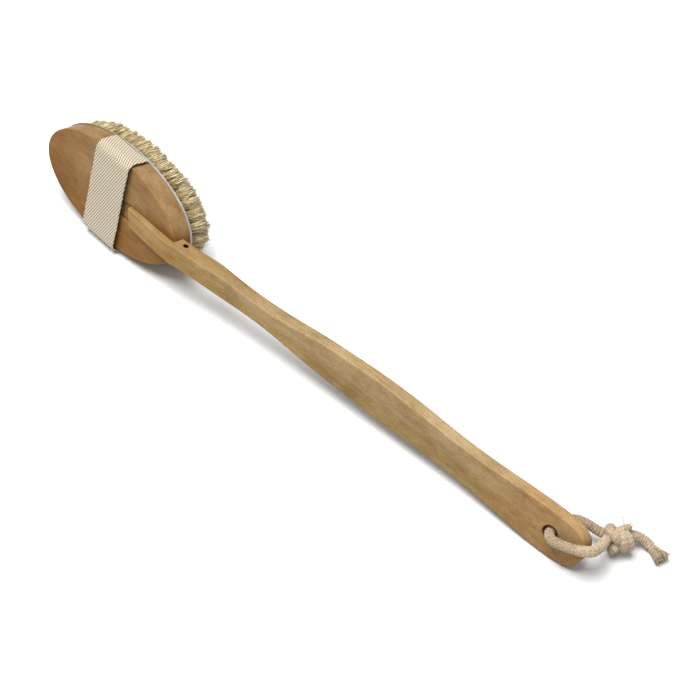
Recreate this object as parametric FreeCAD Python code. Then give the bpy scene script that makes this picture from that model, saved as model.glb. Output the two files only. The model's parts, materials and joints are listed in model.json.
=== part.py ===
import FreeCAD, Part
import math
import os
from FreeCAD import Vector

# Body dry brush, in millimetres: an oval wooden head with a webbing hand strap, and a long wooden
# handle whose dovetail tongue slides out of a groove in the head's back. Everything is drawn in
# the head's own frame: X from the head's centre towards the handle's tail, Z out of the flat back,
# and Y across, upwards as the brush lies. The last step lays the brush on its side on the floor.

# wooden head
HEAD_HALF_LENGTH = 65.0
HEAD_HALF_WIDTH = 32.5
HEAD_THICK = 13.0
HEAD_FLARE = 0.5            # the rim widens by this much towards the bristles
HEAD_ARRIS = 0.9
# thin plastic liner between the wood and the bristles
LINER_HALF_LENGTH = 66.3
LINER_HALF_WIDTH = 33.8
LINER_THICK = 1.3
# bristle tufts, set in oval rings
RING_HALF_LENGTH = 59.5
RING_HALF_WIDTH = 27.2
RING_STEP = 6.9
RING_TUFTS = (38, 32, 26, 20)
CENTRE_TUFTS = 5
CENTRE_PITCH = 8.8
TUFT_LENGTH = 17.8          # how far the bristles stand out of the liner
TUFT_ROOT_RADIUS = 2.0
TUFT_TIP_RADII = (3.2, 2.9, 2.9, 2.5, 3.0)     # outermost ring first, the middle row last
TUFT_HOLE_RADIUS = 2.1
TUFT_HOLE_DEPTH = 5.4
TUFT_ROOT_GAP = 0.1         # left free at the hole's bottom
ANCHOR = (4.1, 0.5, 1.0)    # flat wire that a tuft is folded over: length, thickness, height
ANCHOR_BELOW = 1.0          # from the tuft hole's bottom to the wire
ANCHOR_PLAY = 0.05
# hand strap of flat webbing
STRAP_WIDTH = 32.0
STRAP_THICK = 1.2
STRAP_GAP = 2.6             # between the back and the strap
STRAP_RIM = 33.2            # half distance between the strap's two inner faces at the rim
STRAP_BEND = 5.0
STRAP_TUCK = 3.4
STAPLE_CROWN = 10.0
STAPLE_WIRE = 0.5
STAPLE_LEG = 5.0
STAPLE_X = 8.0              # two staples hold each end, this far either side of its middle
REBATE_PLAY = 0.3           # between the strap's end and the step that takes it
# dovetail groove and the tongue in it
GROOVE_END = -8.0           # centre of the groove's round blind end
GROOVE_HALF = 6.2
GROOVE_DEPTH = 6.2
DOVETAIL_SPREAD = 0.8       # how much wider each side is at the groove's floor
TONGUE_PLAY = 0.2
TENON_TOP = -1.2
TONGUE_HALF = 6.0
TONGUE_FACE = 24.3          # where the thick part of the tongue begins
TONGUE_SLANT = 21.0         # degrees by which that face is off square
RIM_CLEARANCE = 0.3
# handle, as curves through (x, height of its edge) and (x, half width)
TAIL_END = 376.4
CROWN = 0.6                 # rise of the wide face's middle over its edges
CROWN_HALF = 12.0           # half width over which it rises
FACE_CURVE = ((16, 2.1), (30, 3.1), (46, 4.0), (60, 4.4), (71, 3.0), (84, 0.5), (106, -3.3), (140, -7.3),
              (180, -12.2), (228, -17.3), (284, -21.9), (332, -24.8), (384, -29.0))
UNDERSIDE_CURVE = ((50, -8.0), (66, -8.2), (76, -9.9), (92, -13.3), (108, -14.2), (140, -17.9),
                   (180, -21.4), (228, -26.9), (284, -31.1), (332, -33.5), (384, -37.4))
WIDTH_CURVE = ((58, 7.3), (68, 6.95), (80, 6.6), (100, 7.0), (118, 6.6), (136, 6.2), (152, 7.1), (180, 10.3),
               (204, 11.7), (228, 12.2), (256, 11.8), (286, 10.9), (310, 11.9), (334, 13.8), (352, 14.6))
TAIL_CURVE = ((362, 14.2), (369.3, 12.5), (373.9, 9.2), (375.9, 4.7))
EDGE_ROUND = 1.2
NECK_HOLE = (70.4, -4.2)
NECK_HOLE_RADIUS = 1.7
ROPE_HOLE = (354.7, 1.2, -30.8)
ROPE_HOLE_RADIUS = 4.8
ROPE_HOLE_TILT = 4.4        # degrees, square to the wide face there
# hanging cord
CORD_RADIUS = 2.9
CORD_ROUTE = ((378.0, -0.2, -58.5), (371.2, 0.6, -54.0), (363.5, 1.8, -51.6), (356.3, 1.8, -47.4),
              (354.2, 1.5, -39.5), (353.9, 1.3, -30.5), (354.9, 1.0, -24.6), (359.4, 0.9, -22.4),
              (365.0, 2.5, -23.1), (370.0, 4.4, -23.6), (375.2, 7.0, -24.4), (379.8, 8.8, -27.4),
              (380.2, 7.6, -34.0), (378.9, 5.2, -42.0), (377.2, 2.8, -50.0), (377.0, 1.6, -56.5))
LONG_TAIL_ROUTE = ((382.0, 2.2, -65.9), (384.9, 2.0, -68.7), (387.5, 1.4, -71.5), (391.1, 0.3, -73.5),
                   (395.0, -0.7, -73.6), (398.8, -1.1, -72.9), (403.1, -1.1, -72.3))
SHORT_TAIL_ROUTE = ((378.8, 4.4, -61.5), (380.6, 6.9, -63.2), (381.4, 9.3, -64.9))
KNOT_CENTRE = (380.4, 1.0, -59.4)
KNOT_HALF = (8.6, 8.6, 8.6)
# how the brush lies: rolled about X until the strap and the bristle tips touch the floor, and
# pitched about Z until the tail touches too
LEAN = 12.5
DROP = 2.4

X_AXIS = Vector(1, 0, 0)
Y_AXIS = Vector(0, 1, 0)
Z_AXIS = Vector(0, 0, 1)
REACH = 120.0               # larger than any cross-section, for cutting tools


def ellipse_wire(half_length, half_width, height):
    edge = Part.Ellipse(Vector(0, 0, height), half_length, half_width).toShape()
    return Part.Wire([edge])


def oval_plate(half_length, half_width, top, bottom, flare=0.0):
    upper = ellipse_wire(half_length, half_width, top)
    lower = ellipse_wire(half_length + flare, half_width + flare, bottom)
    return Part.makeLoft([upper, lower], True, True)


def box_between(low, high):
    size = Vector(*high) - Vector(*low)
    return Part.makeBox(size.x, size.y, size.z, Vector(*low))


def polygon_prism(points, direction):
    face = Part.Face(Part.makePolygon(points + [points[0]]))
    return face.extrude(direction)


def smooth_curve(points):
    curve = Part.BSplineCurve()
    curve.interpolate([Vector(*point) for point in points])
    return curve.toShape()


def dovetail_half(height):
    """Half width of the groove at a height at or below the back face."""
    return GROOVE_HALF - DOVETAIL_SPREAD * height / GROOVE_DEPTH


def dovetail_bar(start, end, play, top, depth):
    """Dovetail prism along X with a round end at start, play smaller than the groove all round."""
    top_half = dovetail_half(top) - play
    floor_half = dovetail_half(-depth) - play
    section = [Vector(start, top_half, top), Vector(start, -top_half, top),
               Vector(start, -floor_half, -depth), Vector(start, floor_half, -depth)]
    bar = polygon_prism(section, X_AXIS * (end - start))
    nose = Part.makeCone(floor_half, top_half, top + depth, Vector(start, 0, -depth), Z_AXIS)
    return bar.fuse(nose).removeSplitter()


def tuft_places():
    """Rings of (x, y) places, evenly spaced along each oval, outermost first, then the middle row."""
    rings = []
    for ring, count in enumerate(RING_TUFTS):
        oval = Part.Ellipse(Vector(0, 0, 0), RING_HALF_LENGTH - ring * RING_STEP,
                            RING_HALF_WIDTH - ring * RING_STEP)
        points = oval.toShape().discretize(Number=count + 1)[:-1]
        rings.append([(point.x, point.y) for point in points])
    middle = (CENTRE_TUFTS - 1) / 2.0
    rings.append([((place - middle) * CENTRE_PITCH, 0.0) for place in range(CENTRE_TUFTS)])
    return rings


def tuft_hole(place, radius, bottom, top):
    return Part.makeCylinder(radius, top - bottom, Vector(place[0], place[1], bottom), Z_AXIS)


def tuft_anchor(place, growth=0.0):
    length, thick, height = ANCHOR
    low_z = -HEAD_THICK + TUFT_HOLE_DEPTH - ANCHOR_BELOW - height
    half = (length / 2 + growth, thick / 2 + growth)
    return box_between((place[0] - half[0], place[1] - half[1], low_z - growth),
                       (place[0] + half[0], place[1] + half[1], low_z + height + growth))


def tuft(place, tip_radius):
    root_top = -HEAD_THICK + TUFT_HOLE_DEPTH - TUFT_ROOT_GAP
    liner_face = -HEAD_THICK - LINER_THICK
    root = tuft_hole(place, TUFT_ROOT_RADIUS, liner_face, root_top)
    brush = Part.makeCone(tip_radius, TUFT_ROOT_RADIUS, TUFT_LENGTH,
                          Vector(place[0], place[1], liner_face - TUFT_LENGTH), Z_AXIS)
    return root.fuse(brush).removeSplitter().cut(tuft_anchor(place, ANCHOR_PLAY))


def strap_solid():
    """Webbing across the back: tucked under the wood, up the rim, round the edge and over."""
    tuck_top = -HEAD_THICK + STAPLE_WIRE + STRAP_THICK
    inner_end = STRAP_RIM - STRAP_TUCK
    outer = STRAP_RIM + STRAP_THICK
    top = STRAP_GAP + STRAP_THICK
    bend_outer = STRAP_BEND + STRAP_THICK
    slope = math.sqrt(0.5)
    inner_centre = Vector(0, STRAP_RIM - STRAP_BEND, STRAP_GAP - STRAP_BEND)
    fold_centre = Vector(0, STRAP_RIM, tuck_top)

    def on_arc(centre, radius, side, across, up):
        return Vector(0, side * (centre.y + radius * across), centre.z + radius * up)

    def half_edges(side):
        inner_low = Vector(0, side * STRAP_RIM, tuck_top)
        inner_high = on_arc(inner_centre, STRAP_BEND, side, 1, 0)
        inner_top = on_arc(inner_centre, STRAP_BEND, side, 0, 1)
        outer_low = on_arc(fold_centre, STRAP_THICK, side, 1, 0)
        outer_fold = on_arc(fold_centre, STRAP_THICK, side, 0, -1)
        outer_high = on_arc(inner_centre, bend_outer, side, 1, 0)
        outer_top = on_arc(inner_centre, bend_outer, side, 0, 1)
        end_inner = Vector(0, side * inner_end, tuck_top)
        end_outer = Vector(0, side * inner_end, tuck_top - STRAP_THICK)
        return [Part.makeLine(end_outer, end_inner), Part.makeLine(end_inner, inner_low),
                Part.makeLine(inner_low, inner_high),
                Part.Arc(inner_high, on_arc(inner_centre, STRAP_BEND, side, slope, slope), inner_top).toShape(),
                Part.makeLine(end_outer, outer_fold),
                Part.Arc(outer_fold, on_arc(fold_centre, STRAP_THICK, side, slope, -slope), outer_low).toShape(),
                Part.makeLine(outer_low, outer_high),
                Part.Arc(outer_high, on_arc(inner_centre, bend_outer, side, slope, slope), outer_top).toShape()]

    flat_half = inner_centre.y
    edges = half_edges(1) + half_edges(-1)
    edges.append(Part.makeLine(Vector(0, flat_half, STRAP_GAP), Vector(0, -flat_half, STRAP_GAP)))
    edges.append(Part.makeLine(Vector(0, flat_half, top), Vector(0, -flat_half, top)))
    wire = Part.Wire(Part.__sortEdges__(edges))
    band = Part.Face(wire).extrude(X_AXIS * STRAP_WIDTH)
    band.translate(Vector(-STRAP_WIDTH / 2, 0, 0))
    return band


def strap_staple(x, side):
    """U of square wire: its crown lies under the strap's tucked end, its legs go up into the wood."""
    mid = STRAP_RIM - STRAP_TUCK / 2
    half = STAPLE_WIRE / 2
    base = -HEAD_THICK
    low_y = min(side * (mid - half), side * (mid + half))
    parts = [box_between((x - STAPLE_CROWN / 2, low_y, base),
                         (x + STAPLE_CROWN / 2, low_y + STAPLE_WIRE, base + STAPLE_WIRE))]
    for end in (-1, 1):
        leg_x = x + end * (STAPLE_CROWN / 2 - half)
        parts.append(box_between((leg_x - half, low_y, base),
                                 (leg_x + half, low_y + STAPLE_WIRE, base + STAPLE_LEG)))
    return parts[0].multiFuse(parts[1:]).removeSplitter()


def strap_rebate(side):
    """Shallow step in the wood's lower face that takes the strap's end and the staples."""
    low = STRAP_RIM - STRAP_TUCK - REBATE_PLAY
    half = STRAP_WIDTH / 2 + REBATE_PLAY
    ys = sorted((side * low, side * REACH))
    return box_between((-half, ys[0], -HEAD_THICK - 1),
                       (half, ys[1], -HEAD_THICK + STAPLE_WIRE + STRAP_THICK))


def head_block(places, staples):
    block = oval_plate(HEAD_HALF_LENGTH, HEAD_HALF_WIDTH, 0, -HEAD_THICK, HEAD_FLARE)
    back_edge = [edge for edge in block.Edges if abs(edge.BoundBox.ZMin) < 0.01 and edge.Length > 100]
    block = block.makeFillet(HEAD_ARRIS, back_edge)
    groove = dovetail_bar(GROOVE_END, HEAD_HALF_LENGTH + 10, 0.0, 1.0, GROOVE_DEPTH)
    tools = [groove, strap_rebate(1), strap_rebate(-1)] + staples
    for place in places:
        tools.append(tuft_hole(place, TUFT_HOLE_RADIUS, -HEAD_THICK - 1, -HEAD_THICK + TUFT_HOLE_DEPTH))
    return block.cut(tools)


def liner(places):
    sheet = oval_plate(LINER_HALF_LENGTH, LINER_HALF_WIDTH, -HEAD_THICK, -HEAD_THICK - LINER_THICK)
    holes = [tuft_hole(place, TUFT_HOLE_RADIUS, -HEAD_THICK - 3, -HEAD_THICK + 1) for place in places]
    return sheet.cut(holes)


def crowned_sheet(points, crown):
    """Surface through the side-view points, highest along its middle and falling away both ways."""
    lines = []
    for across in (-2, -1, 0, 1, 2):
        fall = crown * (across ** 2 - 1)
        lines.append(Part.Wire([smooth_curve([(x, across * CROWN_HALF, z - fall) for x, z in points])]))
    return Part.makeLoft(lines, False, False)


def between_faces():
    """Everything between the handle's crowned wide face and its flat underside."""
    above = crowned_sheet(FACE_CURVE, CROWN).extrude(Z_AXIS * -REACH / 2).Solids[0]
    below = crowned_sheet(UNDERSIDE_CURVE, 0.0).extrude(Z_AXIS * REACH / 2).Solids[0]
    return above, below


def plan_prism():
    """Plan of the neck and grip with its round tail, as a tall prism."""
    base = -REACH
    sides = []
    for side in (1, -1):
        points = [Vector(x, side * half, base) for x, half in WIDTH_CURVE]
        curve = Part.BSplineCurve()
        curve.interpolate(Points=points, InitialTangent=(points[1] - points[0]).normalize(),
                          FinalTangent=X_AXIS)
        sides.append(curve.toShape())
    half_tail = [WIDTH_CURVE[-1]] + list(TAIL_CURVE)
    points = [Vector(x, half, base) for x, half in half_tail]
    points += [Vector(TAIL_END, 0, base)]
    points += [Vector(x, -half, base) for x, half in reversed(half_tail)]
    curve = Part.BSplineCurve()
    curve.interpolate(Points=points, InitialTangent=X_AXIS, FinalTangent=X_AXIS * -1)
    start, start_half = WIDTH_CURVE[0]
    close = Part.makeLine(Vector(start, start_half, base), Vector(start, -start_half, base))
    outline = Part.Wire(Part.__sortEdges__(sides + [curve.toShape(), close]))
    return Part.Face(outline).extrude(Z_AXIS * 2 * REACH)


def tongue_block(end):
    """Thick part of the tongue, with its slanted face, before its top is shaped."""
    back_off = TONGUE_HALF * math.tan(math.radians(TONGUE_SLANT))
    block = box_between((TONGUE_FACE - back_off, -TONGUE_HALF, TENON_TOP - 1), (end, TONGUE_HALF, REACH / 2))
    waste = box_between((-REACH, -REACH, -REACH), (0, REACH, REACH))
    waste.rotate(Vector(0, 0, 0), Z_AXIS, TONGUE_SLANT)
    waste.translate(Vector(TONGUE_FACE, 0, 0))
    return block.cut(waste)


def handle_solid():
    above, below = between_faces()
    end = HEAD_HALF_LENGTH + 2
    collar = oval_plate(HEAD_HALF_LENGTH + HEAD_FLARE + RIM_CLEARANCE,
                        HEAD_HALF_WIDTH + HEAD_FLARE + RIM_CLEARANCE, REACH, -REACH)
    grip = plan_prism().common(below).cut(collar)
    body = grip.fuse(tongue_block(end)).common(above).Solids[0]
    grip_edges = [edge for edge in body.Edges if edge.BoundBox.XMax > 300 and edge.Length > 20]
    body = body.makeFillet(EDGE_ROUND, grip_edges)
    tenon = dovetail_bar(GROOVE_END + TONGUE_PLAY, end, TONGUE_PLAY, TENON_TOP, GROOVE_DEPTH - TONGUE_PLAY)
    body = body.fuse(tenon).removeSplitter()
    neck_x, neck_z = NECK_HOLE
    neck_hole = Part.makeCylinder(NECK_HOLE_RADIUS, REACH, Vector(neck_x, -REACH / 2, neck_z), Y_AXIS)
    tilt = math.radians(ROPE_HOLE_TILT)
    out = Vector(math.sin(tilt), 0, math.cos(tilt))
    low_end = Vector(*ROPE_HOLE) - out * REACH / 2
    rope_hole = Part.makeCylinder(ROPE_HOLE_RADIUS, REACH, low_end, out)
    return body.cut([neck_hole, rope_hole]).Solids[0]


def cord_path(points):
    """Straight runs joined by tangent arcs; returns the wire, its length and the arcs' radii."""
    points = [Vector(*point) for point in points]
    edges = []
    radii = []
    start = points[0]
    for before, corner, after in zip(points, points[1:], points[2:]):
        inward = (before - corner).normalize()
        onward = (after - corner).normalize()
        half_turn = (math.pi - inward.getAngle(onward)) / 2
        reach = 0.45 * min((before - corner).Length, (after - corner).Length)
        radius = reach / math.tan(half_turn)
        first = corner + inward * reach
        last = corner + onward * reach
        to_centre = (inward + onward).normalize()
        centre = corner + to_centre * (radius / math.cos(half_turn))
        edges.append(Part.LineSegment(start, first).toShape())
        edges.append(Part.Arc(first, centre - to_centre * radius, last).toShape())
        radii.append(radius)
        start = last
    edges.append(Part.LineSegment(start, points[-1]).toShape())
    wire = Part.Wire(edges)
    return wire, wire.Length, radii


def cord_tube(name, points):
    wire, length, radii = cord_path(points)
    ahead = Vector(*points[1]) - Vector(*points[0])
    ring = Part.Wire([Part.makeCircle(CORD_RADIUS, Vector(*points[0]), ahead)])
    tube = wire.makePipeShell([ring], True, True)
    wanted = math.pi * CORD_RADIUS ** 2 * length
    print(name, "length", round(length, 1), "radii", [round(radius, 1) for radius in radii],
          "volume", round(tube.Volume, 1), "of", round(wanted, 1))
    return tube


def knot_solid():
    ball = Part.makeSphere(1.0)
    stretch = FreeCAD.Matrix()
    stretch.scale(Vector(*KNOT_HALF))
    knot = ball.transformGeometry(stretch)
    knot.translate(Vector(*KNOT_CENTRE))
    return knot


def resting_place(shapes):
    """Lay the brush on its side: Y turns up, then the roll and the pitch that bring it to rest."""
    turn = FreeCAD.Rotation(X_AXIS, 90 - LEAN)
    pitch = FreeCAD.Rotation(Y_AXIS, DROP)
    rotation = pitch.multiply(turn)
    tilted = FreeCAD.Placement(Vector(0, 0, 0), rotation)
    low = Vector(REACH * 9, REACH * 9, REACH * 9)
    high = low * -1
    for shape in shapes:
        moved = shape.copy()
        moved.Placement = tilted.multiply(moved.Placement)
        box = moved.optimalBoundingBox(False)
        low = Vector(min(low.x, box.XMin), min(low.y, box.YMin), min(low.z, box.ZMin))
        high = Vector(max(high.x, box.XMax), max(high.y, box.YMax), max(high.z, box.ZMax))
    base = Vector((low.x + high.x) / 2, (low.y + high.y) / 2, low.z)
    return FreeCAD.Placement(base * -1, rotation)


def build():
    rings = tuft_places()
    places = [place for ring in rings for place in ring]
    staples = [strap_staple(x, side) for side in (1, -1) for x in (-STAPLE_X, STAPLE_X)]
    nodes = {}
    nodes["head_back"] = head_block(places, staples)
    nodes["liner_sheet"] = liner(places)
    for number, (ring, tip_radius) in enumerate(zip(rings, TUFT_TIP_RADII), 1):
        tufts = [tuft(place, tip_radius) for place in ring]
        nodes["bristle_ring_%d" % number] = Part.makeCompound(tufts)
        nodes["tuft_anchors_%d" % number] = Part.makeCompound([tuft_anchor(place) for place in ring])
    nodes["hand_strap"] = strap_solid().cut(staples)
    nodes["strap_staples_upper"] = Part.makeCompound(staples[:2])
    nodes["strap_staples_lower"] = Part.makeCompound(staples[2:])
    nodes["handle"] = handle_solid()
    on_cord = {}
    on_cord["hanging_cord"] = cord_tube("hanging_cord", CORD_ROUTE)
    on_cord["cord_knot"] = knot_solid()
    on_cord["cord_tail_long"] = cord_tube("cord_tail_long", LONG_TAIL_ROUTE)
    on_cord["cord_tail_short"] = cord_tube("cord_tail_short", SHORT_TAIL_ROUTE)
    rest = resting_place(list(nodes.values()))
    print("rest", rest)
    os.makedirs("parts", exist_ok=True)
    for name, shape in {**nodes, **on_cord}.items():
        shape.Placement = rest.multiply(shape.Placement)
        shape.exportStep("parts/%s.step" % name)
        print(name, len(shape.Solids), round(shape.Volume, 1), shape.isValid())


build()
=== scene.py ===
import json
import math
import bpy
import numpy as np
from mathutils import Matrix, Vector


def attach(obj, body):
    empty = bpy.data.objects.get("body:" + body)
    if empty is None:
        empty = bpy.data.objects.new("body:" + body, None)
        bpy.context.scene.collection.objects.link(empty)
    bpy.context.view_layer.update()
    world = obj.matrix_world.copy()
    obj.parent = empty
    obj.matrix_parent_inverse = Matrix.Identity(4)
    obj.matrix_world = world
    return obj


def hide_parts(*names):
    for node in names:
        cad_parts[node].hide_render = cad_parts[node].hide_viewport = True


# Body dry brush lying on its side on a white table. Metres throughout. Most places are given in the
# brush's own frame: X from the head's centre towards the handle's tail, Y across (up, as it lies),
# Z out of the head's flat back. BRUSH turns that frame into the row frame.

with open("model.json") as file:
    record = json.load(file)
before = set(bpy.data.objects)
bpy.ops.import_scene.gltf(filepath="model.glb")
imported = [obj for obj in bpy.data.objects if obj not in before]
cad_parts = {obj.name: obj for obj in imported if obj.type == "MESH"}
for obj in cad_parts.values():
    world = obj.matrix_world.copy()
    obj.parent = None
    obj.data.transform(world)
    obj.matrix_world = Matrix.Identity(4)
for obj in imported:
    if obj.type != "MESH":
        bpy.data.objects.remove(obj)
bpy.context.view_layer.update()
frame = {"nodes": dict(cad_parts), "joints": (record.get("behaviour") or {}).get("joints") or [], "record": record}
nodes = frame["nodes"]
mounts = {mount["name"]: mount for mount in frame["record"]["mounts"]}
rng = np.random.default_rng(20)

MM = 0.001
HEAD_BODY = "brush_head"
GRIP_BODY = "grip"
BRISTLE_FACE = -14.3 * MM       # where the bristles leave the liner
BRISTLE_TIP = -32.1 * MM
FLOOR_MARGIN = 0.15 * MM        # soft pieces lie this far over the table


def brush_frame():
    along = Vector(frame["joints"][0]["axis"]).normalized()
    out = -Vector(mounts["bristle_tips"]["axis"]).normalized()
    across = out.cross(along).normalized()
    matrix = Matrix((along, across, out)).transposed().to_4x4()
    matrix.translation = Vector(mounts["bristle_tips"]["pos_m"]) - out * BRISTLE_TIP
    return matrix


BRUSH = brush_frame()
BRUSH_TURN = np.array(BRUSH.to_3x3())
BRUSH_ORIGIN = np.array(BRUSH.translation)


def to_row(points):
    """Points in the brush's frame, as an array, in the row frame."""
    return np.asarray(points, float) @ BRUSH_TURN.T + BRUSH_ORIGIN


def to_brush(points):
    return (np.asarray(points, float) - BRUSH_ORIGIN) @ BRUSH_TURN


# ------------------------------------------------------------------ camera, light, table

# the camera is placed in the brush's frame, the light in the row frame
CAMERA_PLACE = (0.5149, 0.4722, 0.4985)
CAMERA_RIGHT = (0.69585, 0.27242, -0.66451)
CAMERA_AHEAD = (-0.41562, -0.60184, -0.68195)
CAMERA_LENS = 66.8
CAMERA_SENSOR = 36.0
WORLD_STRENGTH = 0.45
LIGHT_PLACE = (-0.12, -0.25, 1.15)
LIGHT_SIZE = 0.9
LIGHT_POWER = 28.5


def add_camera():
    ahead = Vector(CAMERA_AHEAD).normalized()
    right = Vector(CAMERA_RIGHT)
    right = (right - ahead * right.dot(ahead)).normalized()
    turn = Matrix((right, right.cross(ahead), -ahead)).transposed().to_4x4()
    data = bpy.data.cameras.new("camera")
    data.lens = CAMERA_LENS
    data.sensor_width = CAMERA_SENSOR
    data.clip_start = 0.01
    camera = bpy.data.objects.new("camera", data)
    bpy.context.scene.collection.objects.link(camera)
    camera.matrix_world = BRUSH @ Matrix.Translation(CAMERA_PLACE) @ turn
    bpy.context.scene.camera = camera


def add_area_light(name, place, target, size, power):
    data = bpy.data.lights.new(name, "AREA")
    data.shape = "DISK"
    data.size = size
    data.energy = power
    light = bpy.data.objects.new(name, data)
    light.location = place
    light.rotation_euler = (Vector(target) - Vector(place)).to_track_quat("-Z", "Y").to_euler()
    bpy.context.scene.collection.objects.link(light)


def add_world(strength):
    world = bpy.data.worlds.new("studio")
    world.use_nodes = True
    background = world.node_tree.nodes["Background"]
    background.inputs["Color"].default_value = (1.0, 1.0, 1.0, 1.0)
    background.inputs["Strength"].default_value = strength
    bpy.context.scene.world = world


# ------------------------------------------------------------------ mesh and node helpers

def add_mesh(name, vertices, faces, materials, face_materials=None):
    mesh = bpy.data.meshes.new(name)
    mesh.from_pydata([tuple(v) for v in vertices], [], faces)
    mesh.polygons.foreach_set("use_smooth", [True] * len(mesh.polygons))
    for material in materials:
        mesh.materials.append(material)
    if face_materials is not None:
        mesh.polygons.foreach_set("material_index", face_materials)
    mesh.update()
    piece = bpy.data.objects.new(name, mesh)
    bpy.context.scene.collection.objects.link(piece)
    return piece


def grid_faces(rows, columns, wrap, first=0):
    """Quads of a grid of vertices stored row by row; wrap joins its last column to its first."""
    row = np.arange(rows - 1)[:, None]
    column = np.arange(columns if wrap else columns - 1)[None, :]
    after = (column + 1) % columns
    corners = (row * columns + column, row * columns + after,
               (row + 1) * columns + after, (row + 1) * columns + column)
    quads = np.stack([np.broadcast_to(c, (rows - 1, column.size)) for c in corners], -1)
    return (quads.reshape(-1, 4) + first).tolist()


def node(tree, kind, inputs=None, **settings):
    made = tree.nodes.new(kind)
    for key, value in settings.items():
        setattr(made, key, value)
    for key, value in (inputs or {}).items():
        if isinstance(value, bpy.types.NodeSocket):
            tree.links.new(value, made.inputs[key])
        else:
            made.inputs[key].default_value = value
    return made


def scaled(colour, factor):
    return tuple(factor * c for c in colour)


def math_node(tree, operation, a, b=0.0, c=0.0):
    made = node(tree, "ShaderNodeMath", {0: a, 1: b, 2: c}, operation=operation)
    return made.outputs[0]


def remap(tree, value, low, high, to_low=0.0, to_high=1.0):
    made = node(tree, "ShaderNodeMapRange", {"Value": value, "From Min": low, "From Max": high,
                                             "To Min": to_low, "To Max": to_high})
    made.interpolation_type = "SMOOTHSTEP"
    return made.outputs[0]


def mix(tree, factor, a, b, blend="MIX"):
    made = node(tree, "ShaderNodeMix", data_type="RGBA", blend_type=blend)
    for socket, value in ((made.inputs[0], factor), (made.inputs[6], a), (made.inputs[7], b)):
        if isinstance(value, bpy.types.NodeSocket):
            tree.links.new(value, socket)
        elif isinstance(value, tuple):
            socket.default_value = (*value, 1.0)
        else:
            socket.default_value = value
    return made.outputs[2]


def new_material(name, roughness, specular=0.5):
    material = bpy.data.materials.new(name)
    material.use_nodes = True
    tree = material.node_tree
    shader = tree.nodes["Principled BSDF"]
    shader.inputs["Roughness"].default_value = roughness
    shader.inputs["Specular IOR Level"].default_value = specular
    return material, tree, shader


def brush_coordinates(tree):
    """Object coordinates turned into the brush's own frame, in millimetres."""
    turn_back = BRUSH.to_3x3().transposed()
    offset = turn_back @ BRUSH.translation * -1000.0
    source = node(tree, "ShaderNodeTexCoord").outputs["Object"]
    mapped = node(tree, "ShaderNodeMapping", {"Vector": source, "Location": offset,
                                              "Rotation": turn_back.to_euler(),
                                              "Scale": (1000.0, 1000.0, 1000.0)})
    return mapped.outputs[0]


def stretched_noise(tree, coordinates, scale, detail=3.0, roughness=0.55, warp=0.0):
    """Noise whose lumps have the given sizes along X, Y and Z, in millimetres."""
    shrink = tuple(1.0 / s for s in scale)
    mapped = node(tree, "ShaderNodeMapping", {"Vector": coordinates, "Scale": shrink})
    made = node(tree, "ShaderNodeTexNoise", {"Vector": mapped.outputs[0], "Scale": 1.0, "Detail": detail,
                                             "Roughness": roughness, "Distortion": warp})
    return made.outputs["Fac"]


def add_bump(tree, shader, height, strength, distance):
    made = node(tree, "ShaderNodeBump", {"Height": height, "Strength": strength, "Distance": distance})
    tree.links.new(made.outputs[0], shader.inputs["Normal"])
    return made


def flattened(tree, coordinates, keep):
    """Coordinates with the axes that keep gives as 0 left out, for a spot that runs through as a bore."""
    made = node(tree, "ShaderNodeVectorMath", {0: coordinates, 1: keep}, operation="MULTIPLY")
    return made.outputs[0]


def spot(tree, coordinates, place, inner, outer):
    """1 within inner millimetres of place, fading to 0 at outer."""
    gap = node(tree, "ShaderNodeVectorMath", {0: coordinates, 1: place}, operation="DISTANCE")
    return remap(tree, gap.outputs["Value"], inner, outer, 1.0, 0.0)


# ------------------------------------------------------------------ wood

WOOD_SPECULAR = 0.06
EDGE_RADIUS = 0.8 * MM          # width of the paler band along the edges: rubbed wear and a painted highlight on the arrises
RUBBED_AND_HIGHLIT = (1.35, 1.30, 1.15)     # how much paler it is than the palest grain
PORE_SHADE = 0.45


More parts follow.
